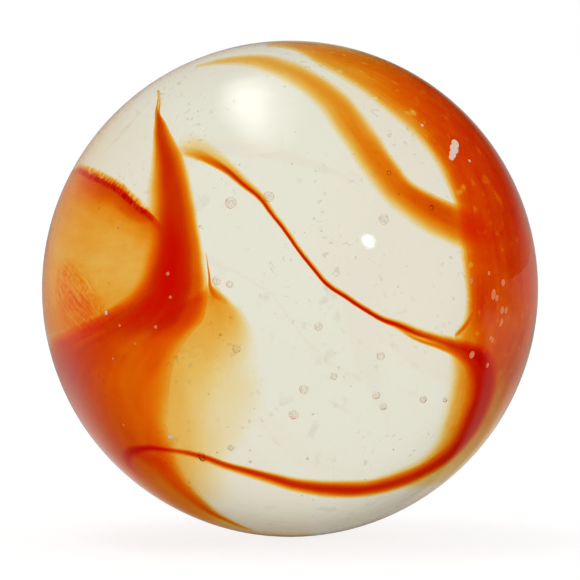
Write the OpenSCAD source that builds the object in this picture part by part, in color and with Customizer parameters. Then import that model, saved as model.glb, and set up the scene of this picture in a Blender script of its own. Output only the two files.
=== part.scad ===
// Glass marble: a ball of clear glass with streams of orange glass lying in its skin.
// Millimetres. The ball's centre is the origin, the front is -Y and up is +Z.
// Places on the ball are [longitude, latitude] in degrees: 0, 0 is the front,
// longitude grows toward the right, +X, and latitude grows upward.

/* [Ball] */
// Diameter of the ball.
ball_d = 16; // [12:0.5:25]
// How far the whole swirl is tipped back about the left-right line, degrees.
swirl_tilt = 4; // [-10:1:10]

/* [Depth of the coloured glass] */
// Flame: the thick red-orange stream on the left.
flame_depth = 0.9; // [0.4:0.1:1.5]
// Thread: the thin line that crosses the front and loops round below.
thread_depth = 0.6; // [0.3:0.1:1.2]
// Rim: the broad stream over the right side.
rim_depth = 0.6; // [0.3:0.1:1.2]
// Sash: the amber band from the top down to the rim.
sash_depth = 0.4; // [0.2:0.1:1]
// Veil: the pale sheet beside the flame.
veil_depth = 0.25; // [0.15:0.05:0.8]
// Window: the amber sheet on the far left.
window_depth = 0.35; // [0.15:0.05:0.8]
// Hook: the stream that curls round the back.
hook_depth = 0.6; // [0.3:0.1:1.2]

/* [Width of the streams] */
// Width of the thread against its usual width.
thread_gain = 1; // [0.7:0.1:1.3]
// Width of the sash against its usual width.
sash_gain = 1; // [0.6:0.1:1.2]
// Width of the hook against its usual width.
hook_gain = 1; // [0.6:0.1:1.2]

/* [Hidden] */
ball_r = ball_d / 2;
ball_fn = 96;
// The cutting wedges reach past the ball, so that their flat tops stay outside it.
wedge_reach = 1.4 * ball_r;
// Steps of the smooth curve from one station to the next.
steps = 3;
// Half width that no stream goes under, degrees.
hair = 0.3;

// Streams given by both edges, each station is [left place, right place].
flame_edges = [
  [[-63, 52.6], [-62.4, 53.5]],
  [[-56.6, 49.4], [-55.6, 50.6]],
  [[-50.8, 45], [-48.8, 46.4]],
  [[-45.5, 39.5], [-41.2, 41]],
  [[-40.5, 30], [-30.5, 31]],
  [[-38.5, 20], [-25.3, 20]],
  [[-36.5, 10], [-21.3, 10]],
  [[-38, 0], [-20, 0]],
  [[-52, -9], [-22.5, -8]],
  [[-70, -10], [-28, -16]],
  [[-92, -14], [-33, -24]],
  [[-98, -28], [-36, -32]],
  [[-97, -40], [-37, -40]],
  [[-90, -52], [-36, -48]],
  [[-80, -64], [-36, -58]],
  [[-66, -74], [-40, -68]],
  [[-50, -79], [-44, -77]]];
rim_edges = [
  [[4, 80], [30, 82]],
  [[13, 69], [80, 75]],
  [[28, 57.6], [104, 60]],
  [[41, 44], [115, 46]],
  [[46, 33], [118, 32]],
  [[48, 20], [118, 18]],
  [[48, 6], [116, 4]],
  [[46.5, -7], [112, -10]],
  [[51, -15], [107, -22]],
  [[58, -22], [101, -34]],
  [[62, -32], [94, -44]],
  [[61.5, -40], [83, -50]],
  [[60, -46], [68, -51]]];
window_edges = [
  [[-35, 14], [-35, 1]],
  [[-45, 21.5], [-44, -4]],
  [[-53.5, 25.2], [-51, -8]],
  [[-66, 27.5], [-62, -9]],
  [[-80, 29.7], [-74, -8]],
  [[-90, 28], [-88, -5]],
  [[-97, 22], [-97, 4]]];
veil_edges = [
  [[-24, 2], [-17, 0]],
  [[-24, -4], [-13, -4]],
  [[-27, -10], [-10.5, -11]],
  [[-32, -17], [-8, -19]],
  [[-37, -26], [-8, -29]],
  [[-39, -35], [-14, -38]],
  [[-38, -40], [-24, -42.5]]];

// Streams given by their middle line, each station is [longitude, latitude, half width in degrees].
thread_line = [
  [-32.5, 33.4, 0.5], [-24.7, 32.3, 0.7], [-15, 27.3, 0.8], [-6.4, 20.2, 0.9],
  [0, 11.7, 0.9], [4, 5.4, 0.9], [10, 0, 0.9], [20, -6, 0.9], [30, -10, 1],
  [41.4, -12.8, 1.1], [50, -15.8, 1.6], [58, -21, 2.2], [62.7, -30, 2.5], [61.4, -40, 2.3],
  [52, -48, 2.2], [36, -52.4, 2.2], [21, -53.6, 2.2], [5, -52.5, 2.1], [-9, -48.6, 1.9],
  [-22, -44.6, 1.7], [-35, -40.7, 1.6], [-46, -40, 1.5], [-57, -41.6, 1.4], [-67, -44.5, 1]];
sash_line = [
  [-57, 67, 0.5], [-44, 69.2, 1.5], [-20, 69.3, 2.2], [-5, 66.2, 2.6], [8, 60, 3],
  [18, 50, 3.7], [22, 40, 4.4], [25, 30, 4.2], [28, 24.5, 4.2], [33, 20.5, 4.2],
  [39, 17.2, 4.3], [46, 15, 4.6], [54, 14, 5]];
hook_line = [
  [-176, 68, 0.6], [-145, 60, 5], [-124, 45, 9], [-113, 25, 11], [-112, 5, 9],
  [-122, -16, 8], [-144, -34, 10], [-172, -44, 10], [158, -42, 9],
  [138, -30, 6], [127, -14, 2.5], [122, -4, 0.6]];

function unit(v) = v / norm(v);
function on_ball(lon, lat) = [sin(lon) * cos(lat), -cos(lon) * cos(lat), sin(lat)];
function at(list, i) = list[max(0, min(len(list) - 1, i))];
// A smooth curve through four neighbours, t from 0 at the second to 1 at the third.
function between(a, b, c, d, t) =
  0.5 * (2 * b + (c - a) * t + (2 * a - 5 * b + 4 * c - d) * t * t + (3 * b - a - 3 * c + d) * t * t * t);
function smooth(list) = [
  for (i = [0 : len(list) - 2]) for (k = [0 : steps - 1])
    between(at(list, i - 1), list[i], list[i + 1], at(list, i + 2), k / steps),
  list[len(list) - 1]];
// One edge of a stream as directions from the centre, from places on the ball.
function edge(stations, side) = [
  for (v = smooth([for (s = stations) on_ball(s[side][0], s[side][1])])) unit(v)];
// One edge of a stream that is given by its middle line, side is -1 or 1.
function beside(line, side, gain) =
  let (mid = smooth([for (s = line) on_ball(s[0], s[1])]), half = smooth([for (s = line) s[2]]))
  [for (i = [0 : len(mid) - 1])
    let (out = unit(mid[i]), along = at(mid, i + 1) - at(mid, i - 1), across = unit(cross(out, along)))
      unit(out + side * tan(gain * max(half[i], hair)) * across)];

// A solid fan from the ball's centre out past its skin, between two edges of a stream.
module wedge(left, right) {
  n = len(left);
  crest = [for (i = [0 : n - 1]) unit(left[i] + right[i])];
  tip = 3 * n;
  polyhedron(
    points = concat(wedge_reach * left, wedge_reach * crest, wedge_reach * right, [[0, 0, 0]]),
    faces = concat(
      [for (row = [0, n]) for (i = [0 : n - 2]) each [
        [row + i, row + n + i + 1, row + i + 1],
        [row + i, row + n + i, row + n + i + 1]]],
      [for (i = [0 : n - 2]) [tip, i, i + 1]],
      [for (i = [0 : n - 2]) [tip, 2 * n + i + 1, 2 * n + i]],
      [[tip, n, 0], [tip, 2 * n, n]],
      [[tip, n - 1, 2 * n - 1], [tip, 2 * n - 1, 3 * n - 1]]));
}

module ball(r) sphere(r = r, $fn = ball_fn);

// The room that a stream takes up in the ball: its wedge, down to its depth under the skin.
module bed(left, right, depth) rotate([-swirl_tilt, 0, 0]) difference() {
  wedge(left, right);
  ball(ball_r - depth);
}
module bed_within(edges, depth) bed(edge(edges, 0), edge(edges, 1), depth);
module bed_along(line, gain, depth) bed(beside(line, -1, gain), beside(line, 1, gain), depth);
module flame_bed() bed_within(flame_edges, flame_depth);
module rim_bed() bed_within(rim_edges, rim_depth);
module window_bed() bed_within(window_edges, window_depth);
module veil_bed() bed_within(veil_edges, veil_depth);
module thread_bed() bed_along(thread_line, thread_gain, thread_depth);
module sash_bed() bed_along(sash_line, sash_gain, sash_depth);
module hook_bed() bed_along(hook_line, hook_gain, hook_depth);

// The clear ball, with room for every stream.
module clear_glass() color([0.93, 0.92, 0.84, 0.45]) difference() {
  ball(ball_r);
  flame_bed();
  thread_bed();
  rim_bed();
  sash_bed();
  veil_bed();
  window_bed();
  hook_bed();
}

// The thread lies over the streams that it crosses.
module thread() color([0.60, 0.10, 0.08]) intersection() {
  ball(ball_r);
  thread_bed();
}
module flame() color([0.80, 0.22, 0.06]) difference() {
  intersection() {
    ball(ball_r);
    flame_bed();
  }
  thread_bed();
}
module rim() color([0.72, 0.22, 0.08]) difference() {
  intersection() {
    ball(ball_r);
    rim_bed();
  }
  thread_bed();
}
module sash() color([0.90, 0.56, 0.12]) difference() {
  intersection() {
    ball(ball_r);
    sash_bed();
  }
  rim_bed();
}
module veil() color([0.93, 0.80, 0.56]) difference() {
  intersection() {
    ball(ball_r);
    veil_bed();
  }
  flame_bed();
  thread_bed();
}
module window() color([0.90, 0.62, 0.26]) difference() {
  intersection() {
    ball(ball_r);
    window_bed();
  }
  flame_bed();
}
module hook() color([0.80, 0.30, 0.08]) intersection() {
  ball(ball_r);
  hook_bed();
}

clear_glass();
flame();
thread();
rim();
sash();
veil();
window();
hook();
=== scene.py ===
"""A glass marble: a clear ball with streams of orange glass swirled through its skin."""
import math
import random

import bpy
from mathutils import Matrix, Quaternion, Vector, noise


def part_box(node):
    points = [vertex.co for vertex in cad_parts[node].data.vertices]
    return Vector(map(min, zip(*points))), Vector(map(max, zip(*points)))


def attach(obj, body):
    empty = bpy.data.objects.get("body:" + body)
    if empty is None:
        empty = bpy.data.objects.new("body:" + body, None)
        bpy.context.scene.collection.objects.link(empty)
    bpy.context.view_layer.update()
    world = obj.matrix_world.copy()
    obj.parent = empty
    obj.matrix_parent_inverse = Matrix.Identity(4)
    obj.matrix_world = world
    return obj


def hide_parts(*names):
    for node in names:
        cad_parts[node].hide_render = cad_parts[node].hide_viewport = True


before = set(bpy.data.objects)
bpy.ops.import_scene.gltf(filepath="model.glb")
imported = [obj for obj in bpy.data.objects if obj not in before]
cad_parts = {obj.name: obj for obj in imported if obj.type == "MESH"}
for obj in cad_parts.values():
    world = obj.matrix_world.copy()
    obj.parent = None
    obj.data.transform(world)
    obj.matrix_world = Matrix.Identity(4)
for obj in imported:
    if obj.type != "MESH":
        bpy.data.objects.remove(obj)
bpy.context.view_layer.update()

# ---------------------------------------------------------------- camera and studio
# The marble stands on a plain white table under a soft studio light. The lens is long and
# looks at the ball from a little above the table.
lows, highs = zip(*(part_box(name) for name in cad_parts))
low = Vector([min(corner[axis] for corner in lows) for axis in range(3)])
high = Vector([max(corner[axis] for corner in highs) for axis in range(3)])
middle = (low + high) / 2
ball_r = max(high - low) / 2

LENS_MM = 770
LENS_SHIFT = -0.0022
CAMERA_AWAY = 0.4
CAMERA_LIFT = math.radians(4)
LIGHT_BOUNCES = 32
camera_data = bpy.data.cameras.new("camera")
camera_data.lens = LENS_MM
camera_data.clip_start = 0.01
camera_data.shift_y = LENS_SHIFT
camera = bpy.data.objects.new("camera", camera_data)
bpy.context.collection.objects.link(camera)
camera.location = middle + CAMERA_AWAY * Vector((0, -math.cos(CAMERA_LIFT), math.sin(CAMERA_LIFT)))
camera.rotation_euler = (math.pi / 2 - CAMERA_LIFT, 0, 0)
scene = bpy.context.scene
scene.camera = camera
scene.view_settings.view_transform = "Standard"
scene.cycles.max_bounces = LIGHT_BOUNCES
scene.cycles.transmission_bounces = LIGHT_BOUNCES
scene.cycles.transparent_max_bounces = LIGHT_BOUNCES


class Wire:
    """A socket that adds its own Math node for each operator used on it."""

    def __init__(self, tree, socket):
        self.tree, self.socket = tree, socket

    def maths(self, operation, *others):
        return node(self.tree, "ShaderNodeMath", {"operation": operation}, self, *others)

    def __add__(self, other):
        return self.maths("ADD", other)

    def __sub__(self, other):
        return self.maths("SUBTRACT", other)

    def __rsub__(self, other):
        return node(self.tree, "ShaderNodeMath", {"operation": "SUBTRACT"}, other, self)

    def __mul__(self, other):
        return self.maths("MULTIPLY", other)

    def __neg__(self):
        return self.maths("MULTIPLY", -1)

    __radd__ = __add__
    __rmul__ = __mul__


def node(tree, kind, settings, *values, out=0, **named):
    """Adds one node: its settings first, then what goes into its sockets."""
    made = tree.nodes.new(kind)
    for key, value in settings.items():
        setattr(made, key, value)
    pairs = list(zip(made.inputs, values))
    pairs += [(made.inputs[key.replace("_", " ")], value) for key, value in named.items()]
    for socket, value in pairs:
        if isinstance(value, Wire):
            tree.links.new(value.socket, socket)
        elif value is not None:
            socket.default_value = value
    return Wire(tree, made.outputs[out]) if made.outputs else made


def shader_tree(name):
    """A new material and its empty tree."""
    material = bpy.data.materials.new(name)
    material.use_nodes = True
    tree = material.node_tree
    tree.nodes.clear()
    return material, tree


def smooth(value, *reach):
    """A soft step of a value, from one reach to another."""
    return node(value.tree, "ShaderNodeMapRange", {"interpolation_type": "SMOOTHSTEP"}, value, *reach)


def ray_kinds(tree):
    """Whether a ray is the camera's own, was mirrored, or went through glass."""
    path = node(tree, "ShaderNodeLightPath", {}).socket.node
    return [Wire(tree, path.outputs[f"Is {kind} Ray"]) for kind in ("Camera", "Glossy", "Transmission")]


# How much dimmer the room is overhead and at the far left, for light that came through glass.
OVERHEAD_DIMMED = 0.29
LEFT_DIMMED = 0.2
# What the glass mirrors: the least anywhere, the most low at the back, how far that falls
# off higher up, and what comes from the low right.
MIRROR_LEAST = 0.03
MIRROR_LOW = 0.64
MIRROR_FALL = 0.22
MIRROR_RIGHT = 0.34
# The red, green and blue of dimmed light, as powers of its level: it grows warmer.
WARMTH = (1.0, 1.25, 1.45)


def room_light(tree, way, fade, white=1.0):
    """What the room sends from a direction. Through the glass it is white behind the table, and
    dimmer overhead and at the left. Mirrored in the glass it is bright low at the back, and a
    little at the low right. fade is where that mirrored light sets in, and white is the level
    for the camera's own rays."""
    camera_ray, glossy_ray, through_ray = ray_kinds(tree)
    right, back, up = (node(tree, "ShaderNodeSeparateXYZ", {}, way, out=axis) for axis in range(3))
    overhead = smooth(back, 0.85, 0.4, 0.0, 1.0) * smooth(up, 0.0, 0.35, 0.0, 1.0)
    through = 1 - OVERHEAD_DIMMED * overhead - LEFT_DIMMED * smooth(right, -0.4, -0.9, 0.0, 1.0)
    shaded = smooth(up, 0.02, 0.22, 0.0, 1.0) * smooth(right, -0.15, 0.2, 0.0, 1.0)
    level = MIRROR_LOW - MIRROR_FALL * smooth(up, -0.45, -0.15, 0.0, 1.0)
    mirrored = MIRROR_LEAST + level * smooth(back - 0.2 * (right + up), *fade, 0.0, 1.0) * (1 - shaded)
    low_right = smooth(right, 0.25, 0.55, 0.0, 1.0) * smooth(up, -0.03, -0.18, 0.0, 1.0)
    mirrored = mirrored.maths("MAXIMUM", MIRROR_RIGHT * low_right * smooth(back, 0.0, 0.16, 0.0, 1.0))
    by_mirror = glossy_ray * (1 - through_ray)
    light = through * (1 - by_mirror) + mirrored * by_mirror
    channels = [light.maths("POWER", power).maths("MAXIMUM", white * camera_ray) for power in WARMTH]
    return node(tree, "ShaderNodeCombineColor", {}, *channels)


TABLE_WIDTH = 4
TABLE_TINT = (0.87, 0.9, 0.93, 1)
# How white the table is to the camera, and how much of that is its own glow and not lit paper.
TABLE_WHITE = 1.16
TABLE_GLOW = 0.7
bpy.ops.object.select_all(action="DESELECT")
bpy.ops.mesh.primitive_plane_add(size=TABLE_WIDTH, location=(middle.x, middle.y, low.z))
floor = bpy.context.object
floor.name = "table_top"
material, tree = shader_tree("white_table")
spot = node(tree, "ShaderNodeVectorMath", {}, node(tree, "ShaderNodeTexCoord", {}, out=3), (0, 0, -ball_r))
spot = node(tree, "ShaderNodeVectorMath", {"operation": "NORMALIZE"}, spot)
camera_ray, glossy_ray, through_ray = ray_kinds(tree)
glowing = (TABLE_GLOW * camera_ray).maths("MAXIMUM", glossy_ray).maths("MAXIMUM", through_ray)
paper = node(tree, "ShaderNodeBsdfPrincipled", {}, Base_Color=TABLE_TINT, Roughness=0.7)
glow = node(tree, "ShaderNodeEmission", {}, room_light(tree, spot, (0.05, 0.85), TABLE_WHITE), 1.0)
mixed = node(tree, "ShaderNodeMixShader", {}, glowing, paper, glow)
node(tree, "ShaderNodeOutputMaterial", {}, mixed)
floor.data.materials.append(material)

world = bpy.data.worlds.new("white_room")
scene.world = world
world.use_nodes = True
tree = world.node_tree
tree.nodes.clear()
colour = room_light(tree, node(tree, "ShaderNodeTexCoord", {}), (0.4, 1.0))
sky = node(tree, "ShaderNodeBackground", {}, colour, 1.0)
node(tree, "ShaderNodeOutputWorld", {}, sky)


def lamp(name, size, hearts, long, ragged, place, turn=0.0):
    """A soft box with bright hearts: [place on its face, where it fades, radiance]. long is how
    far they are drawn out across the box, and ragged how uneven their edge is. The box itself
    is hidden from the camera and from light that went through the glass."""
    data = bpy.data.lights.new(name, "AREA")
    data.size = size
    data.energy = math.pi * size * size
    data.use_nodes = True
    tree = data.node_tree
    tree.nodes.clear()
    spot = node(tree, "ShaderNodeNewGeometry", {}, out=5)
    torn = node(tree, "ShaderNodeTexNoise", {}, Vector=spot, Scale=3.0, Detail=2.0)
    shine = 0
    for heart, reach, radiance in hearts:
        away = node(tree, "ShaderNodeVectorMath", {"operation": "SUBTRACT"}, spot, (*heart, 0))
        away = node(tree, "ShaderNodeVectorMath", {"operation": "MULTIPLY"}, away, (1 / long, long, 0))
        away = node(tree, "ShaderNodeVectorMath", {"operation": "LENGTH"}, away, out=1)
        shine += smooth(away + (torn - 0.5) * ragged, *reach, radiance, 0.0)
    node(tree, "ShaderNodeOutputLight", {}, node(tree, "ShaderNodeEmission", {}, (1, 1, 1, 1), shine))
    box = bpy.data.objects.new(name, data)
    bpy.context.collection.objects.link(box)
    box.location = place
    facing = (middle - place).to_track_quat("-Z", "Y") @ Quaternion((0, 0, 1), math.radians(turn))
    box.rotation_euler = facing.to_euler()
    box.visible_camera = False
    box.visible_transmission = False


def toward(right, up, front, away):
    """A place out from the ball, by directions as the camera sees them."""
    way = Vector((right, up, front)).normalized()
    return middle + away * (camera.rotation_euler.to_matrix() @ way)


OVERHEAD_HEARTS = [((0.74, 0.5), (0.02, 0.26), 3.3), ((0.68, 0.6), (0.06, 0.4), 2.0)]
SMALL_HEARTS = [((0.5, 0.5), (0.0, 0.5), 22)]
LAMP_AWAY = 0.5
lamp("overhead_box", size=0.6, hearts=OVERHEAD_HEARTS, long=0.62, ragged=0.12,
     place=toward(0.05, 0.99, -0.12, LAMP_AWAY), turn=15)
lamp("small_lamp", size=0.07, hearts=SMALL_HEARTS, long=1.0, ragged=0.3,
     place=toward(0.58, 0.35, 0.73, LAMP_AWAY))

# ---------------------------------------------------------------- the clear ball
# One ball of clear glass, faintly cream, rolled round while hot. Its skin is a little wavy
# and bruised and chipped from play, and bubbles and tiny seeds of air are shut inside it.
CLEAR_TINT = (0.815, 0.80, 0.67, 1)
RUBBED_TINT = (0.5, 0.44, 0.36, 1)
BRUISE_TINT = (1, 0.88, 0.74, 1)
CHIP_AND_GLINT_TINT = (1, 0.36, 0.16, 1)
GLASS_IOR = 1.5
BUBBLE_IOR = 1.1
SWIRL_TILT = 4


def on_ball(lon, lat):
    """The direction of a place on the ball, with the whole swirl tipped back."""
    lon, lat, tilt = (math.radians(angle) for angle in (lon, lat, SWIRL_TILT))
    x, y, z = math.sin(lon) * math.cos(lat), -math.cos(lon) * math.cos(lat), math.sin(lat)
    return Vector((x, y * math.cos(tilt) + z * math.sin(tilt), -y * math.sin(tilt) + z * math.cos(tilt)))


def inside(skin_way, depth):
    """The place seen through a spot of the skin, depth metres in along the bent line of sight."""
    sight = Vector((0, math.cos(CAMERA_LIFT), -math.sin(CAMERA_LIFT)))
    fall = -skin_way.dot(sight)
    bend = fall / GLASS_IOR - math.sqrt(1 - (1 - fall**2) / GLASS_IOR**2)
    return middle + skin_way * ball_r + (sight / GLASS_IOR + skin_way * bend) * depth


def bead(place, radius, stretch=1.0, lean=0.0, thick=1.0, segments=24):
    """A small round, long or flat bead at a place, facing out of the ball."""
    bpy.ops.mesh.primitive_uv_sphere_add(
        segments=segments, ring_count=segments // 2, radius=radius, location=place)
    made = bpy.context.object
    made.scale = (stretch, 1, thick)
    made.rotation_mode = "QUATERNION"
    out = (place - middle).to_track_quat("Z", "Y")
    made.rotation_quaternion = out @ Quaternion((0, 0, 1), math.radians(lean))
    bpy.ops.object.transform_apply(location=True, rotation=True, scale=True)
    return made


bpy.ops.object.select_all(action="DESELECT")
bpy.ops.mesh.primitive_uv_sphere_add(segments=192, ring_count=96, radius=ball_r, location=middle)
ball = bpy.context.object
ball.name = "clear_ball"
bpy.ops.object.transform_apply(location=True, rotation=True, scale=True)

# Each bubble is [longitude, latitude, radius in mm, depth along the line of sight in mm].
BUBBLES = [
    (-14.5, 20, 0.17, 3), (-5.2, 21.5, 0.16, 3), (-21.5, 14.3, 0.05, 0.4), (-17, 1.8, 0.13, 3),
    (-13.8, 1, 0.11, 3), (-12.7, -13.8, 0.13, 3), (-13.6, -6.6, 0.05, 3), (-16.2, -10.5, 0.05, 1),
    (6.6, -8.6, 0.13, 3), (22, -15.5, 0.13, 3), (3.5, -23.6, 0.14, 3), (10.7, -20.4, 0.11, 3),
    (1, -30.1, 0.14, 3), (22.3, -25.1, 0.12, 3), (25, -28, 0.11, 3), (36.3, -26.2, 0.11, 3),
    (43.7, -26.4, 0.07, 3), (6, -29.8, 0.04, 0.3), (5.4, -42.4, 0.05, 0.3), (-12.6, -43.4, 0.05, 0.5),
    (-17.8, -39.4, 0.09, 3), (23, 16.1, 0.14, 5), (26.2, 27.3, 0.08, 0.6), (36.3, 18.7, 0.1, 0.6),
    (27.7, 22, 0.05, 0.6)]
beads = []
for lon, lat, radius, depth in BUBBLES:
    beads.append(bead(inside(on_ball(lon, lat), depth / 1000), radius / 1000))
long_bubble = bead(inside(on_ball(-28.2, -42), 0.0018), 0.00011, stretch=1.8, lean=80)
beads.append(long_bubble)

# Seeds are the tiniest bubbles, spread by chance through the outer glass.
SEEDS = 260
SEED_DEPTHS = (0.0001, 0.0012)
SEED_RADII = (0.000008, 0.00003)
SEED_SEGMENTS = 10
random.seed(16)
for _ in range(SEEDS):
    lon, lat = random.uniform(-140, 140), math.degrees(math.asin(random.uniform(-1, 1)))
    place = middle + on_ball(lon, lat) * (ball_r - random.uniform(*SEED_DEPTHS))
    radius, stretch, lean = random.uniform(*SEED_RADII), random.choice((1, 1.3)), random.uniform(0, 180)
    beads.append(bead(place, radius, stretch, lean, segments=SEED_SEGMENTS))
for bubble in beads:
    bubble.data.flip_normals()
air_beads = len(beads)

# Marks on the skin, each [longitude, latitude, half width in mm, stretch, lean]. Bruises are short white
# cracks, and chips are spread by chance over the rim. The specks over the flame are pale beads that stand
# in for glints on tiny bubbles there: painted glints.
BRUISES = [
    (53.9, 35.3, 0.15, 1.5, 30), (52.1, 33.9, 0.17, 1.4, 30), (50.2, 32.4, 0.13, 1.5, 35),
    (49, 31.5, 0.1, 1.3, 20), (56.5, 30.7, 0.05, 1, 0), (44, 40.7, 0.05, 1.3, 30),
    (-47.3, -5.5, 0.07, 1, 0), (-36.1, -36.1, 0.08, 1.2, 0)]
# Painted glints: pale beads on the skin over the flame, where tiny bubbles would catch the light.
GLINT_SPECKS = [
    (-29, 3.4, 0.06, 1, 0), (-28.3, -1.9, 0.05, 1, 0), (-32.6, -8.7, 0.06, 1, 0),
    (-43.2, -8.4, 0.05, 1, 0), (-39, -12.6, 0.045, 1, 0), (-44.8, 14, 0.05, 1, 0),
    (-47.2, -16.2, 0.045, 1, 0), (-52.2, -32.9, 0.05, 1, 0)]
CHIPS = 14
MARK_FLATNESS = 0.1
marks = BRUISES + GLINT_SPECKS
for _ in range(CHIPS):
    lon, lat = random.gauss(54, 4.5), random.gauss(-3, 9)
    marks.append((lon, lat, random.uniform(0.05, 0.12), random.uniform(1, 1.5), random.gauss(75, 15)))
for lon, lat, radius, stretch, lean in marks:
    beads.append(bead(middle + on_ball(lon, lat) * ball_r, radius / 1000, stretch, lean, MARK_FLATNESS))


def bubble_wall():
    """The wall of a bubble: lumpy, with grey spots painted into its colour as a painted reflection, and
    bending light only a little.
    """
    material, tree = shader_tree("bubble_wall")
    place = node(tree, "ShaderNodeTexCoord", {}, out=3)
    lumps = node(tree, "ShaderNodeTexNoise", {}, Vector=place, Scale=16000.0, Detail=1.0)
    # Painted reflection: the lumps darken the wall's colour in grey spots, standing in for the dark and
    # pale mottling that a bubble mirrors.
    shade = node(tree, "ShaderNodeMapRange", {}, lumps, 0.4, 0.52, 0.8, 1.0)
    colour = node(tree, "ShaderNodeCombineColor", {}, shade, shade, shade * 0.99)
    lumps = node(tree, "ShaderNodeBump", {}, Strength=1.0, Distance=0.00004, Height=lumps)
    air = node(
        tree, "ShaderNodeBsdfPrincipled", {}, Base_Color=colour, Metallic=0.08, Roughness=0.05,
        IOR=BUBBLE_IOR, Normal=lumps, Transmission_Weight=1.0)
    node(tree, "ShaderNodeOutputMaterial", {}, air)
    return material


def broken_glass(name, tint, roughness, ior, clearness):
    """Glass with its skin broken, which scatters light in one colour."""
    material, tree = shader_tree(name)
    chalk = node(
        tree, "ShaderNodeBsdfPrincipled", {}, Base_Color=tint, Roughness=roughness, IOR=ior,
        Transmission_Weight=clearness)
    node(tree, "ShaderNodeOutputMaterial", {}, chalk)
    return material


def clear_glass():
    """Clear glass with a slightly wavy skin, and grains of dirt that lie in patches."""
    material, tree = shader_tree("clear_glass")
    place = node(tree, "ShaderNodeTexCoord", {}, out=3)
    waves = node(tree, "ShaderNodeTexNoise", {}, Vector=place, Scale=350.0, Detail=1.0)
    grain = node(tree, "ShaderNodeTexNoise", {}, Vector=place, Scale=2600.0, Detail=2.0)
    skin = node(tree, "ShaderNodeBump", {}, Strength=1.0, Distance=0.000012, Height=waves + 0.1 * grain)
    dirt = node(tree, "ShaderNodeTexNoise", {}, Vector=place, Scale=4200.0, Detail=2.0, Distortion=0.5)
    dirt = node(tree, "ShaderNodeMapRange", {}, dirt, 0.62, 0.72, 0.0, 0.8)
    patches = node(tree, "ShaderNodeTexNoise", {}, Vector=place, Scale=420.0, Detail=2.0)
    dirt = dirt * node(tree, "ShaderNodeMapRange", {}, patches, 0.48, 0.62, 0.1, 1.0)
    tints = [None] * 5 + [CLEAR_TINT, RUBBED_TINT]
    tint = node(tree, "ShaderNodeMix", {"data_type": "RGBA"}, dirt, *tints, out=2)
    glass = node(
        tree, "ShaderNodeBsdfPrincipled", {}, Base_Color=tint, Roughness=0.0, IOR=GLASS_IOR, Normal=skin,
        Transmission_Weight=1.0)
    node(tree, "ShaderNodeOutputMaterial", {}, glass)
    return material


ball.data.materials.append(clear_glass())
air_wall = bubble_wall()
bruised = broken_glass("bruised_glass", BRUISE_TINT, roughness=0.6, ior=1.15, clearness=0.3)
# This glass makes the real chips and also the painted glints over the flame.
chipped = broken_glass("chipped_glass", CHIP_AND_GLINT_TINT, roughness=0.7, ior=1.0, clearness=0.35)
for i, small in enumerate(beads):
    wall = air_wall if i < air_beads else bruised if i < air_beads + len(BRUISES) else chipped
    small.data.materials.append(wall)
bpy.ops.object.select_all(action="DESELECT")
for small in beads:
    small.select_set(True)
ball.select_set(True)
bpy.context.view_layer.objects.active = ball
bpy.ops.object.join()
bpy.ops.object.shade_smooth()
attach(ball, "root")
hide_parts("clear_glass")

# ---------------------------------------------------------------- the flame
# The thick red-orange stream on the left, laid into the skin while both glasses were soft.
# It is a curved sheet whose glass is deep red where it is thick and amber where it is thin.


def between(a, b, c, d, t):
    """A smooth curve through four neighbours, from b at 0 to c at 1."""
    return 0.5 * (2 * b + (c - a) * t + (2 * a - 5 * b + 4 * c - d) * t**2 + (3 * b - a - 3 * c + d) * t**3)


def along(values, t):
    """The smooth curve through a row of values, at t from 0 to 1."""
    spot = min(max(t, 0), 1) * (len(values) - 1)
    i = min(int(spot), len(values) - 2)
    four = [values[min(max(k, 0), len(values) - 1)] for k in range(i - 1, i + 3)]
    return between(*four, spot - i)


def edges(stations):
    """Stations of a stream from its two edges: left place, right place, depths."""
    return [(on_ball(*left), on_ball(*right), depths) for left, right, depths in stations]


def beside(line):
    """Stations of a stream from its middle line: longitude, latitude, half width, depths."""
    centres = [on_ball(lon, lat) for lon, lat, _, _ in line]
    stations = []
    for i, (_, _, half, depths) in enumerate(line):
        heading = centres[min(i + 1, len(line) - 1)] - centres[max(i - 1, 0)]
        across = centres[i].cross(heading).normalized() * math.tan(math.radians(half))
        stations.append((centres[i] - across, centres[i] + across, depths))
    return stations


# How far a sheet's edges wander, and how finely. The seed makes them wander the same each time.
WANDERS = [(0.005, 9), (0.001, 45)]
noise.seed_set(9)


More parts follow.
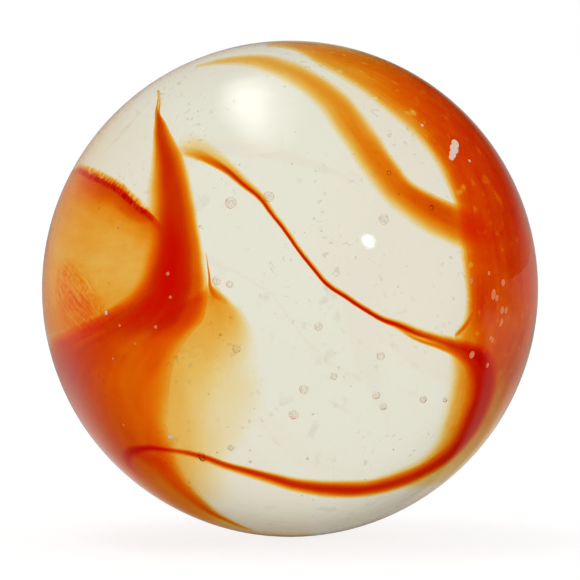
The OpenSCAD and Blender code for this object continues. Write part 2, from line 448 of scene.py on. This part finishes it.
def sheet(name, stations, columns, skin, thickness, glass, cad_node, rows=20, across=56):
    """A curved sheet of coloured glass. A station is its left and right directions and its depths
    of colour at the columns, from left to right, which are even where none are given. skin is
    the clear glass over it and thickness its own, both in mm."""
    lefts, rights, depths = zip(*stations)
    bpy.ops.object.select_all(action="DESELECT")
    bpy.ops.mesh.primitive_grid_add(
        x_subdivisions=rows * (len(stations) - 1), y_subdivisions=across, size=2, location=(0, 0, 0))
    piece = bpy.context.object
    piece.name = name
    mesh = piece.data
    depth = mesh.attributes.new("depth", "FLOAT", "POINT")
    for vertex in mesh.vertices:
        u, v = vertex.co.x / 2 + 0.5, vertex.co.y / 2 + 0.5
        way = (along(lefts, u) * (1 - v) + along(rights, u) * v).normalized()
        way = sum((far * noise.noise_vector(way * pace) for far, pace in WANDERS), way).normalized()
        profile = [along(column, u) for column in zip(*depths)]
        if columns:
            k = max(i for i in range(len(columns) - 1) if columns[i] <= v or i == 0)
            v = (k + (v - columns[k]) / (columns[k + 1] - columns[k])) / (len(columns) - 1)
        depth.data[vertex.index].value = max(along(profile, v), 0)
        vertex.co = middle + way * (ball_r - skin / 1000)
    wall = piece.modifiers.new("wall", "SOLIDIFY")
    wall.thickness = thickness / 1000
    wall.offset = -1
    bpy.ops.object.modifier_apply(modifier="wall")
    bpy.ops.object.shade_smooth()
    mesh.materials.append(glass)
    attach(piece, "root")
    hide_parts(cad_node)


# How much more blue than green is taken out of the light, and the depth past which no more
# red is.
BLUE_TAKEN = 3.75
RED_DEPTH = 3


def stream_glass(name, streaks, fine, strength, least=0.2, flecks=0.0, red_taken=0.036):
    """See-through orange glass: its colour follows the depth on the sheet. streaks is how fine
    they are along and across it, fine the grain of its clouds, strength how uneven both make
    it, least the share of depth that always stays, and flecks how far pale flecks thin it."""
    material, tree = shader_tree(name)
    depth = node(tree, "ShaderNodeAttribute", {"attribute_name": "depth"}, out=2)
    flow = node(tree, "ShaderNodeTexCoord", {}, out=2)
    drawn = node(tree, "ShaderNodeMapping", {}, flow, Scale=streaks)
    grain = node(
        tree, "ShaderNodeTexNoise", {}, Vector=drawn, Scale=1.0, Detail=5.0, Roughness=0.6, Distortion=0.3)
    place = node(tree, "ShaderNodeTexCoord", {}, out=3)
    cloud = node(tree, "ShaderNodeTexNoise", {}, Vector=place, Scale=fine, Detail=4.0, Roughness=0.6)
    uneven = 1 + (grain - 0.5) * (2 * strength) + (cloud - 0.5) * strength
    deep = depth * uneven.maths("MAXIMUM", least)
    if flecks:
        spots = node(tree, "ShaderNodeTexNoise", {}, Vector=place, Scale=2200.0, Detail=1.0)
        deep = deep * node(tree, "ShaderNodeMapRange", {}, spots, 0.66, 0.74, 1.0, 1 - flecks)
    thick = deep.maths("MINIMUM", RED_DEPTH)
    taken = (red_taken * thick * thick, deep, BLUE_TAKEN * deep)
    reds, greens, blues = ((-light).maths("EXPONENT") for light in taken)
    colour = node(tree, "ShaderNodeCombineColor", {}, reds, greens, blues)
    glass = node(
        tree, "ShaderNodeBsdfPrincipled", {}, Base_Color=colour, Roughness=0.0, IOR=1.0,
        Transmission_Weight=1.0)
    node(tree, "ShaderNodeOutputMaterial", {}, glass)
    return material


orange = stream_glass("orange_glass", streaks=(9, 14, 1), fine=1500.0, strength=0.3)
FLAME_COLUMNS = (0, 0.06, 0.2, 0.45, 0.7, 0.82, 0.92, 1)
FLAME = [
    ((-63, 52.8), (-62.4, 53.4), (0, 0.3, 0.8, 1, 0.8, 0.5, 0.3, 0)),
    ((-56.5, 49.9), (-55.9, 50.4), (0, 0.4, 0.9, 1.3, 0.9, 0.5, 0.3, 0)),
    ((-50.9, 45.4), (-49.5, 46.1), (0, 1, 2.4, 3, 2.2, 1.2, 0.6, 0)),
    ((-45.8, 39.5), (-41, 41), (0, 0.8, 2.6, 3.2, 2.2, 1.4, 0.7, 0)),
    ((-40.8, 30), (-29.8, 31), (0, 0.3, 1.6, 3.6, 2.5, 1.5, 0.7, 0)),
    ((-38.6, 20), (-24.4, 20), (0, 0.2, 0.9, 3.2, 3.3, 2.1, 1, 0)),
    ((-37.2, 10), (-21.4, 10), (0, 0.15, 1.5, 5.2, 3.9, 2.3, 1.4, 0)),
    ((-40.5, 0), (-20, 0), (0, 0.3, 1.9, 5.2, 4.6, 2.6, 1.9, 0.3)),
    ((-51, -6), (-21.2, -7), (0.1, 1.4, 2.9, 4.2, 4, 2.6, 1.9, 0.4)),
    ((-67, -9.5), (-26, -12), (0.1, 0.7, 2, 2.7, 2.2, 1.8, 1.2, 0.2)),
    ((-84, -12), (-30.3, -18.5), (0.1, 0.9, 2.6, 2.9, 2.1, 1.7, 1.2, 0.2)),
    ((-95, -18), (-33.2, -25), (0.2, 1.2, 2.6, 2.6, 2.1, 1.7, 1, 0.2)),
    ((-98, -28), (-36, -32), (0.8, 1.2, 1.9, 2.1, 2.2, 1.9, 0.9, 0)),
    ((-97, -40), (-37.5, -40), (0.8, 1.2, 1.8, 2, 2.1, 2, 0.9, 0)),
    ((-90, -52), (-40, -48), (0.5, 0.8, 1.1, 1.3, 1.4, 1.2, 0.7, 0)),
    ((-80, -64), (-41.5, -58), (0.5, 0.8, 1, 1.1, 1.1, 0.8, 0.4, 0)),
    ((-66, -74), (-42.5, -68), (0.1, 0.3, 0.4, 0.5, 0.5, 0.4, 0.2, 0)),
    ((-50, -79), (-42, -77), (0, 0.1, 0.2, 0.3, 0.3, 0.2, 0.1, 0))]
sheet("flame_sheet", edges(FLAME), FLAME_COLUMNS, skin=0.2, thickness=0.3, glass=orange,
      cad_node="flame")
TAIL = [
    (-58, -41, 2.2, (0, 0, 0, 0, 0)), (-51.5, -43.5, 3.6, (0, 0.5, 0.9, 0.7, 0)),
    (-49, -46.5, 4, (0, 0.4, 1, 0.9, 0.2)), (-49, -50.5, 4, (0, 0.4, 1, 0.9, 0.2)),
    (-48.6, -55, 3.8, (0, 0.4, 1, 0.9, 0.2)), (-48, -60, 3.2, (0, 0.4, 1.1, 0.9, 0.2)),
    (-47.8, -65, 2.4, (0, 0.4, 1.3, 0.9, 0.1)), (-46, -69, 2, (0, 0.4, 1.2, 0.8, 0)),
    (-44.5, -73, 1.6, (0, 0.3, 0.8, 0.6, 0)), (-43, -77, 1.2, (0, 0, 0, 0, 0))]
sheet("flame_tail", beside(TAIL), None, skin=0.14, thickness=0.04, glass=orange,
      cad_node="flame", across=32)
SPUR = [
    (-19.9, 8.4, 0.12, (0, 0.4, 0.4, 0)), (-19.2, 5.4, 0.2, (0, 1.2, 1.2, 0)),
    (-18.9, 3, 0.3, (0, 1.6, 1.6, 0)), (-18.6, 0.5, 0.6, (0, 1.5, 1.2, 0)),
    (-17.4, -1.2, 1.1, (0, 0.8, 0.5, 0)), (-15.3, -2.3, 1.2, (0, 0.5, 0.3, 0)),
    (-13.5, -3.6, 0.9, (0, 0, 0, 0))]
sheet("flame_spur", beside(SPUR), None, skin=0.1, thickness=0.03, glass=orange,
      cad_node="flame", across=12)

# ---------------------------------------------------------------- the thread
# A thin dark line of the same glass, where a sheet of it is folded edge on. It crosses the
# front, turns at the right where it is thickest, and runs back along the bottom.
THREAD = [
    (-34, 35.8, 3, (0, 0, 0, 0, 0, 0, 0)),
    (-30.5, 35.2, 3.4, (0, 0.25, 0.25, 0.15, 0.1, 0.05, 0)),
    (-26.5, 34.2, 3.2, (0, 0.9, 0.7, 0.3, 0.2, 0.1, 0)),
    (-21, 31.8, 2.5, (0, 1.8, 1.6, 0.6, 0.3, 0.12, 0)),
    (-15, 27.9, 1.7, (0, 1.8, 3.4, 1.1, 0.5, 0.15, 0)),
    (-6.4, 20.3, 1, (0, 1, 4.4, 2.6, 0.9, 0.4, 0)),
    (0, 11.7, 0.85, (0, 0.4, 4.6, 3.8, 1, 0.4, 0)),
    (4.4, 5.7, 0.8, (0, 0.3, 4.6, 4.6, 1.2, 0.4, 0)),
    (10, 0, 0.85, (0, 0.4, 4.8, 5, 1.6, 0.5, 0)),
    (20, -6, 1, (0, 0.5, 4.8, 5.4, 1.8, 0.5, 0)),
    (26, -8.5, 1.3, (0, 0.5, 2.6, 5.6, 2, 0.5, 0.1)),
    # Painted highlight: the shallow middle of this row leaves a pale line between two darker lines of
    # glass, standing in for light along the fold.
    (32, -10.6, 1.8, (0, 1.4, 0.7, 3.4, 2.2, 0.4, 0)),
    (38, -12.2, 2, (0, 1.6, 1.6, 2.8, 2, 0.5, 0)),
    (45, -14, 2.6, (0.1, 1.2, 2.2, 3.6, 2.6, 0.9, 0)),
    (51, -16.6, 4, (0.2, 1.2, 3, 4.4, 3.8, 1.6, 0)),
    (55.6, -20.2, 5.6, (0, 1.2, 3.6, 4.8, 4, 1.6, 0)),
    (58.6, -25, 6.2, (0, 1.2, 3.8, 5, 4.2, 1.6, 0)),
    (60, -30, 6.2, (0, 1.2, 3.6, 4.8, 4, 1.6, 0)),
    (60.8, -36, 5.6, (0, 1, 3, 4.4, 3.8, 1.6, 0)),
    (59.4, -41, 5, (0, 0.9, 2.6, 4, 3.4, 1.4, 0)),
    (55, -45.2, 4.3, (0, 0.9, 2.3, 3.6, 2.9, 1.2, 0.1)),
    (48, -49, 4.1, (0, 0.9, 2.3, 3.7, 3, 1.3, 0.1)),
    (36, -52.4, 3.8, (0, 0.9, 2.5, 4.2, 3.2, 1.3, 0.1)),
    (21, -53.6, 3.6, (0, 0.9, 2.6, 4.5, 3.2, 1.3, 0.1)),
    (5, -52.1, 2.9, (0, 0.8, 2.8, 4.1, 2.5, 1, 0.1)),
    (-9, -48.6, 2.2, (0, 0.6, 2.9, 3.9, 1.9, 0.8, 0.1)),
    (-22, -44.6, 1.8, (0, 0.2, 2.2, 3.6, 1.8, 0.6, 0)),
    (-29, -42.2, 1.6, (0, 0.3, 2.4, 3.8, 1.8, 0.4, 0)),
    (-36, -40.7, 1.5, (0, 0.1, 1.4, 2.6, 1.2, 0.2, 0)),
    (-46, -39.8, 1.6, (0, 0.2, 1.8, 3.2, 1.8, 0.4, 0)),
    (-55, -40.4, 2, (0, 0.3, 1.8, 2.8, 1.8, 0.4, 0)),
    (-61, -42, 2.2, (0, 0.3, 1.6, 2.4, 1.4, 0.3, 0)),
    (-66, -44.5, 2.2, (0, 0.2, 1.4, 2, 1, 0.2, 0)),
    (-67, -47.5, 2, (0, 0.1, 0.6, 0.8, 0.4, 0.1, 0)),
    (-65.5, -50, 1.6, (0, 0, 0, 0, 0, 0, 0))]
sheet("thread_line", beside(THREAD), None, skin=0.06, thickness=0.08, glass=orange,
      cad_node="thread", rows=14, across=36)
ELBOW = [
    ((37, -11.5), (40, -12.4), (0, 0, 0, 0, 0, 0, 0, 0)),
    ((41, -14.8), (50, -16), (0, 0.2, 0.5, 0.7, 0.8, 0.5, 0.2, 0)),
    ((42, -20), (57, -20), (0, 0.15, 0.7, 1.1, 1.5, 1.1, 0.5, 0)),
    ((43, -26), (60, -26), (0, 0.12, 0.6, 0.9, 1.4, 1.4, 0.6, 0)),
    ((44.5, -32), (62, -32), (0, 0.12, 0.6, 0.9, 1.4, 1.4, 0.6, 0)),
    ((46, -38), (61, -38.5), (0, 0.1, 0.4, 0.8, 1.2, 1.2, 0.5, 0)),
    ((45, -42.5), (56, -44.5), (0, 0.1, 0.3, 0.6, 0.9, 0.9, 0.4, 0)),
    ((38, -46), (48, -49), (0, 0.05, 0.2, 0.4, 0.6, 0.5, 0.2, 0)),
    ((26, -50), (32, -52.5), (0, 0, 0, 0, 0, 0, 0, 0))]
sheet("thread_elbow", edges(ELBOW), None, skin=0.16, thickness=0.02, glass=orange,
      cad_node="thread")

# ---------------------------------------------------------------- the rim
# The broad stream over the right side, flecked where its skin was chipped. It starts thin at the top, and
# is made thinner still there as painted light, so that its top looks lit. It is drawn out again below,
# where it lies against the outer side of the thread.
flecked = stream_glass(
    "flecked_glass", streaks=(9, 34, 1), fine=1700.0, strength=0.6, flecks=0.6, red_taken=0.025)
RIM_COLUMNS = (0, 0.03, 0.08, 0.2, 0.45, 0.7, 1)
RIM = [
    ((-30, 78.5), (-60, 86), (0, 0.3, 0.35, 0.4, 0.4, 0.3, 0)),
    ((4, 75.5), (60, 86), (0.1, 0.4, 0.6, 0.8, 0.9, 0.6, 0.1)),
    ((14, 67), (80, 75), (0, 0.4, 0.7, 1, 1.4, 0.9, 0.1)),
    # Painted light: these rows, down to latitude 31, are cut shallower so that the rim's top looks lighter,
    # as where light falls on it.
    ((22, 60.5), (95, 67), (0, 0.4, 0.8, 1.15, 1.6, 1, 0.1)),
    ((28.5, 54), (102, 60), (0, 0.4, 0.9, 1.4, 1.9, 1.2, 0.1)),
    ((34, 47), (108, 53), (0, 0.4, 1.1, 1.8, 2.3, 1.4, 0.1)),
    ((39.5, 39.5), (114, 46), (0, 0.5, 1.3, 2.3, 2.6, 1.5, 0.1)),
    ((43.3, 31), (118, 34), (0, 0.5, 2.2, 2.8, 2.9, 1.7, 0.1)),
    ((45.5, 21), (118, 22), (0, 1.3, 2.4, 2.8, 3.2, 1.9, 0.1)),
    ((44.8, 9), (116, 6), (0, 1, 2.5, 2.9, 2.9, 1.9, 0.1)),
    ((46.2, -2), (114, -6), (0, 1.8, 2.9, 2.4, 2.2, 1.6, 0.1)),
    ((45.8, -7), (112, -11), (0, 1.2, 2.2, 2.2, 2.1, 1.5, 0.1)),
    ((43.6, -10.8), (110, -16), (0.1, 0.6, 1.6, 2.2, 2, 1.4, 0.1)),
    ((46.5, -14), (108, -21), (0.6, 1.2, 2, 2.1, 1.9, 1.4, 0.1)),
    ((52.5, -17), (105, -27), (1.2, 1.5, 1.6, 1.5, 1.3, 0.9, 0.1)),
    ((58.5, -21), (101, -34), (1.2, 1.3, 1.3, 1.2, 1, 0.7, 0.1)),
    ((62.5, -28), (97, -42), (1, 1.1, 1.1, 1, 0.8, 0.5, 0.1)),
    ((63.5, -35), (90, -48), (0.9, 0.9, 0.9, 0.8, 0.6, 0.4, 0.1)),
    ((60, -41.5), (80, -53), (0.7, 0.7, 0.7, 0.6, 0.4, 0.3, 0)),
    ((52, -47), (66, -55), (0.4, 0.5, 0.5, 0.4, 0.3, 0.2, 0)),
    ((42, -51), (54, -56), (0, 0, 0, 0, 0, 0, 0))]
sheet("rim_sheet", edges(RIM), RIM_COLUMNS, skin=0.22, thickness=0.25, glass=flecked,
      cad_node="rim")
THORN = [
    (47.5, -5.5, 0.7, (0, 0.4, 0.4, 0)), (45.5, -8.2, 0.8, (0, 1, 1, 0)),
    (43.4, -10.3, 0.7, (0, 1.2, 1.1, 0)), (42.4, -11.2, 0.5, (0, 0, 0, 0))]
sheet("rim_thorn", beside(THORN), None, skin=0.1, thickness=0.05, glass=orange,
      cad_node="rim", across=12)

# ---------------------------------------------------------------- the sash
# The amber band that falls from the top and joins the rim. Its lower edge fades out and its
# upper edge is clean.
amber = stream_glass("amber_glass", streaks=(7, 10, 1), fine=1500.0, strength=0.3)
SASH = [
    (-64, 65, 1.2, (0, 0.1, 0.2, 0.25, 0.2, 0.1, 0)),
    (-46, 68.8, 3, (0, 0.2, 0.45, 0.6, 0.5, 0.3, 0)),
    (-20, 68.8, 4.4, (0, 0.2, 0.5, 0.7, 0.7, 0.4, 0)),
    (-5, 65.2, 4.6, (0, 0.25, 0.55, 0.75, 0.75, 0.4, 0.05)),
    (8, 58.8, 4.6, (0, 0.3, 0.65, 0.9, 0.9, 0.55, 0.05)),
    (16.5, 50, 4.9, (0, 0.35, 0.8, 1, 1, 0.7, 0.05)),
    (21, 40, 5.2, (0, 0.4, 0.95, 1.3, 1.15, 0.7, 0.05)),
    (25.3, 30.5, 5, (0, 0.4, 1.1, 1.5, 1.5, 1.2, 0.05)),
    (28.8, 24.5, 5, (0, 0.4, 1.1, 1.6, 1.8, 1.6, 0.1)),
    (33.5, 20.5, 5.2, (0, 0.4, 1.1, 1.8, 2.2, 1.9, 0.1)),
    (39, 17.4, 5.4, (0, 0.5, 1.3, 2, 2.3, 2, 0.2)),
    (46, 15, 5.4, (0, 0.6, 1.5, 2, 2, 1.6, 0.3)),
    (53, 14, 5.4, (0, 0.3, 0.6, 0.8, 0.7, 0.4, 0)),
    (60, 13, 5.4, (0, 0, 0, 0, 0, 0, 0))]
sheet("sash_sheet", beside(SASH), None, skin=0.5, thickness=0.15, glass=amber,
      cad_node="sash")

# ---------------------------------------------------------------- the window
# The amber sheet on the far left. Its middle is thin, and its upper edge is dark and torn
# into short spikes.
WINDOW_COLUMNS = (0, 0.012, 0.07, 0.2, 0.45, 0.7, 0.88, 1)
WINDOW = [
    ((-33, 15), (-32, 3), (0, 0, 0, 0, 0, 0, 0, 0)),
    ((-37.5, 18.3), (-36, 0), (0, 1.8, 2.4, 1.3, 0.7, 0.65, 0.7, 0.4)),
    ((-42.7, 21), (-43, -5), (0, 2.4, 2.8, 1.2, 0.68, 0.62, 0.7, 0.4)),
    ((-53.5, 25.6), (-52, -9), (0, 2.5, 2.4, 1.05, 0.66, 0.65, 0.9, 0.4)),
    ((-66, 28), (-63, -12.5), (0, 2, 2, 1, 0.72, 0.8, 1.2, 0.4)),
    ((-80, 29.7), (-77, -14), (0, 1.3, 1.2, 0.9, 0.6, 0.8, 1, 0.3)),
    ((-90, 28), (-88, -10), (0, 0.6, 0.7, 0.6, 0.6, 0.7, 0.6, 0.4)),
    ((-97, 22), (-97, 0), (0, 0, 0, 0, 0, 0, 0, 0))]
sheet("window_sheet", edges(WINDOW), WINDOW_COLUMNS, skin=0.6, thickness=0.15, glass=amber,
      cad_node="window")
torn = stream_glass("torn_glass", streaks=(80, 1.5, 1), fine=5000.0, strength=2.8, least=0.0)
FRINGE = [
    (-36, 16.8, 1.2, (0, 1, 0.8, 0.2, 0)), (-42.7, 20.8, 1.5, (0, 2.2, 1.8, 0.6, 0)),
    (-53.5, 25.4, 1.6, (0, 2.4, 2, 0.8, 0)), (-66, 27.8, 1.6, (0, 2.2, 1.8, 0.8, 0)),
    (-78, 29.3, 1.5, (0, 1.6, 1.4, 0.5, 0)), (-88, 28.3, 1.4, (0, 0.3, 0.3, 0, 0))]
sheet("window_fringe", beside(FRINGE[::-1]), None, skin=0.5, thickness=0.05, glass=torn,
      cad_node="window")
brushed = stream_glass("brushed_glass", streaks=(3, 50, 1), fine=6000.0, strength=5.0, least=0.0)
BRUSH = [
    (-72, 5, 4, (0, 0, 0, 0, 0)), (-68, 1, 8, (0, 0.3, 0.45, 0.3, 0)),
    (-61, -4, 10, (0, 0.4, 0.6, 0.45, 0)), (-54, -9, 8, (0, 0.25, 0.4, 0.25, 0)),
    (-47, -13, 5, (0, 0, 0, 0, 0))]
sheet("window_brush", beside(BRUSH), None, skin=0.45, thickness=0.05, glass=brushed,
      cad_node="window")

# ---------------------------------------------------------------- the veil
# A pale, thin spill of the same glass beside the flame, smeared off it while both were
# soft. It fades out toward the middle.
pale = stream_glass("pale_amber_glass", streaks=(5, 5, 1), fine=900.0, strength=0.3)
VEIL_COLUMNS = (0, 0.15, 0.35, 0.6, 0.8, 1)
VEIL = [
    ((-21, 1.5), (-18, 1), (0, 0, 0, 0, 0, 0)),
    ((-23, -1), (-16, -1.8), (0, 0.6, 1, 1, 0.6, 0)),
    ((-31, -5), (-11.5, -5.5), (0, 0.6, 0.7, 0.83, 0.75, 0)),
    ((-38, -10), (-8.5, -11), (0, 0.6, 0.66, 0.6, 0.45, 0)),
    ((-43, -15), (-7.5, -18), (0, 0.6, 0.6, 0.45, 0.2, 0)),
    ((-48, -23), (-6, -25), (0, 0.5, 0.6, 0.3, 0.15, 0)),
    ((-51, -31), (-8, -32), (0, 0.5, 0.55, 0.22, 0.12, 0)),
    ((-52, -39), (-12, -39), (0, 0.5, 0.5, 0.25, 0.1, 0)),
    ((-54, -46), (-20, -46), (0, 0.6, 0.5, 0.3, 0.12, 0)),
    ((-54, -54), (-22, -54), (0, 0.35, 0.3, 0.15, 0.05, 0)),
    ((-54, -63), (-24, -63), (0, 0, 0, 0, 0, 0)),
    ((-42, -71), (-26, -70), (0, 0, 0, 0, 0, 0))]
sheet("veil_sheet", edges(VEIL), VEIL_COLUMNS, skin=0.8, thickness=0.1, glass=pale,
      cad_node="veil")

# ---------------------------------------------------------------- the hook
# The stream that curls round the back, of the same glass as the flame. It was rolled into
# the skin with the rest, and both its ends are drawn out thin.
HOOK = [
    (-176, 68, 1, (0, 0.3, 0.4, 0.3, 0)), (-145, 60, 5, (0.1, 0.8, 1.2, 1, 0.1)),
    (-124, 45, 9, (0.1, 1.4, 2.2, 1.8, 0.2)), (-113, 25, 11, (0.2, 1.8, 3, 2.2, 0.2)),
    (-112, 5, 9, (0.2, 2.2, 3.6, 2.4, 0.2)), (-122, -16, 8, (0.2, 1.8, 3.2, 1.8, 0.2)),
    (-144, -34, 10, (0.1, 1.2, 2.2, 1.6, 0.1)), (-172, -44, 10, (0.1, 1, 1.6, 1.2, 0.1)),
    (158, -42, 9, (0.1, 1, 1.5, 1, 0.1)), (138, -30, 6, (0.1, 1.2, 1.8, 1, 0.1)),
    (127, -14, 2.5, (0, 0.8, 1.4, 0.8, 0)), (122, -4, 0.8, (0, 0.2, 0.4, 0.2, 0))]
sheet("hook_sheet", beside(HOOK), None, skin=0.22, thickness=0.25, glass=orange,
      cad_node="hook")
